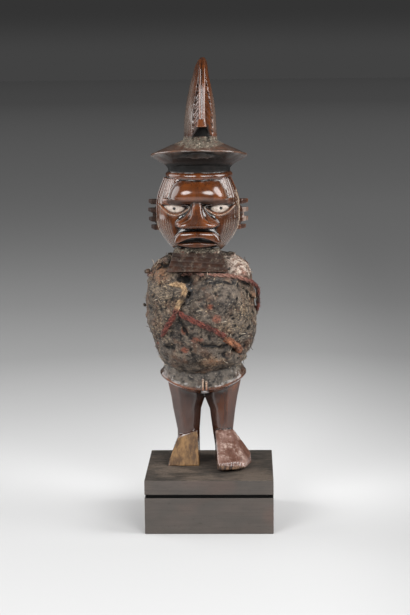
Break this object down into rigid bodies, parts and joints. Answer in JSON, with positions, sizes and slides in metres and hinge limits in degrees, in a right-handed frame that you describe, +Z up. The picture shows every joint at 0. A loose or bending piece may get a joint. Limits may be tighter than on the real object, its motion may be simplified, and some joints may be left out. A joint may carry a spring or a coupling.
{
  "type": "teke power figure",
  "caption": "Carved wooden standing figure in a crested, brimmed hat, its body wrapped in a corded medicine bundle, on a grooved block plinth.",
  "frame": {"origin": "middle of the plinth's underside", "axes": "+Z is up, the figure faces -Y, +X is to the right of someone looking at its face"},
  "size_m": [0.093, 0.085, 0.34],
  "materials": {
    "plinth_wood": "dark stained wood, waxed matt",
    "figure_wood": "dark red-brown wood, polished by handling, with a grey crust in hollows",
    "bundle_crust": "dry grainy mass of earth, resin and plant fibre",
    "red_cord": "twisted plant fibre, reddened with camwood and dirt",
    "tan_cord": "twisted plant fibre, tan to red",
    "knot_cord": "frayed orange-brown plant fibre",
    "inlay": "off-white inlay with a dark drilled pupil"
  },
  "bodies": {
    "root": {"plinth": "plinth_wood", "carved_figure": "figure_wood", "medicine_bundle": "bundle_crust", "neck_cord": "red_cord", "left_cord": "tan_cord", "right_cord": "red_cord", "cord_knot": "knot_cord", "eye_inlay_left": "inlay", "eye_inlay_right": "inlay"}
  },
  "joints": []
}
